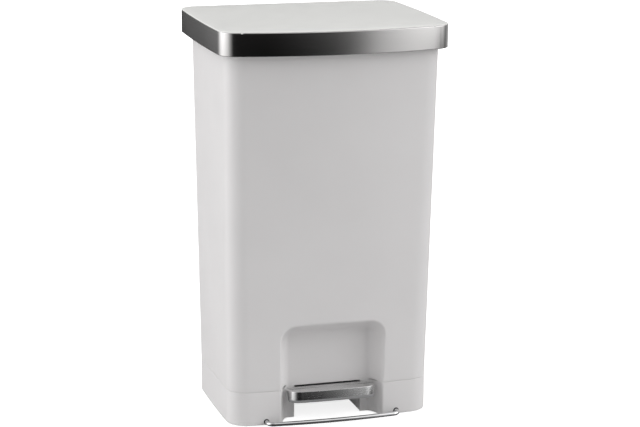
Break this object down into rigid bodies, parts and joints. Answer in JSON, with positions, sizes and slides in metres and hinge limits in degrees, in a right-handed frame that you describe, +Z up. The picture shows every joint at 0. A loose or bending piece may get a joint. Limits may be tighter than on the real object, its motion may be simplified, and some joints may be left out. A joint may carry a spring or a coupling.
{
  "type": "pedal trash can",
  "caption": "Rectangular pedal bin with tapered plastic tub, steel-banded hinged lid, toe recess, foot pedal and wire foot bar.",
  "frame": {"origin": "on the floor under the middle of the bin's outline", "axes": "+Z up, the pedal and toe recess face -Y, the lid hinge is at +Y, +X to the right seen from the front"},
  "size_m": [0.379, 0.33, 0.65],
  "materials": {
    "shell_plastic": "fine moulded texture, slight sheen",
    "lid_plastic": "smooth satin moulding",
    "ring_plastic": "satin moulding",
    "pedal_plastic": "fine moulded texture",
    "nylon": "smooth",
    "band_steel": "brushed along its length",
    "cover_steel": "brushed along its length",
    "lever_steel": "bright drawn steel",
    "zinc": "zinc plated",
    "bar_chrome": "polished chrome",
    "black_rubber": "matt"
  },
  "bodies": {
    "can": {"body_shell": "shell_plastic", "base_frame": "shell_plastic", "base_screws": "zinc", "rubber_feet": "black_rubber", "foot_bar": "bar_chrome", "foot_bar_grommets": "black_rubber", "foot_bar_clamps": "nylon", "foot_bar_clamp_screws": "zinc", "pedal_axle": "lever_steel", "axle_clips": "zinc", "pedal_buffers": "black_rubber", "rod_guides": "nylon", "rod_cover": "shell_plastic", "rod_cover_screws": "zinc", "hinge_bracket": "lever_steel", "hinge_screws": "zinc", "hinge_nuts": "zinc", "hinge_pins": "lever_steel", "bag_ring": "ring_plastic"},
    "lid": {"lid_band": "band_steel", "lid_top": "lid_plastic", "lid_liner": "lid_plastic", "lid_cam": "nylon", "lid_screws": "zinc", "lid_buffers": "black_rubber"},
    "pedal": {"pedal_pad": "pedal_plastic", "pedal_cover": "cover_steel", "pedal_lever": "lever_steel", "pedal_lever_screws": "zinc"},
    "rod": {"push_rod": "lever_steel", "rod_foot": "nylon", "rod_tip": "nylon"}
  },
  "joints": [
    {"name": "lid_hinge", "type": "hinge", "parent": "can", "child": "lid", "pos_m": [0, 0.152, 0.612], "axis": [-1, 0, 0], "range_deg": [0, 78]},
    {"name": "rod_slide", "type": "slide", "parent": "can", "child": "rod", "axis": [0, 0.029, 0.9996], "range_m": [0, 0.0298]},
    {"name": "pedal_pivot", "type": "hinge", "parent": "can", "child": "pedal", "pos_m": [0, -0.01, 0.03], "axis": [1, 0, 0], "range_deg": [0, 13.9]}
  ],
  "couplings": [
    {"joint": "rod_slide", "follows": "lid_hinge", "m_per_rad": 0.021875},
    {"joint": "pedal_pivot", "follows": "lid_hinge", "ratio": 0.1778}
  ]
}
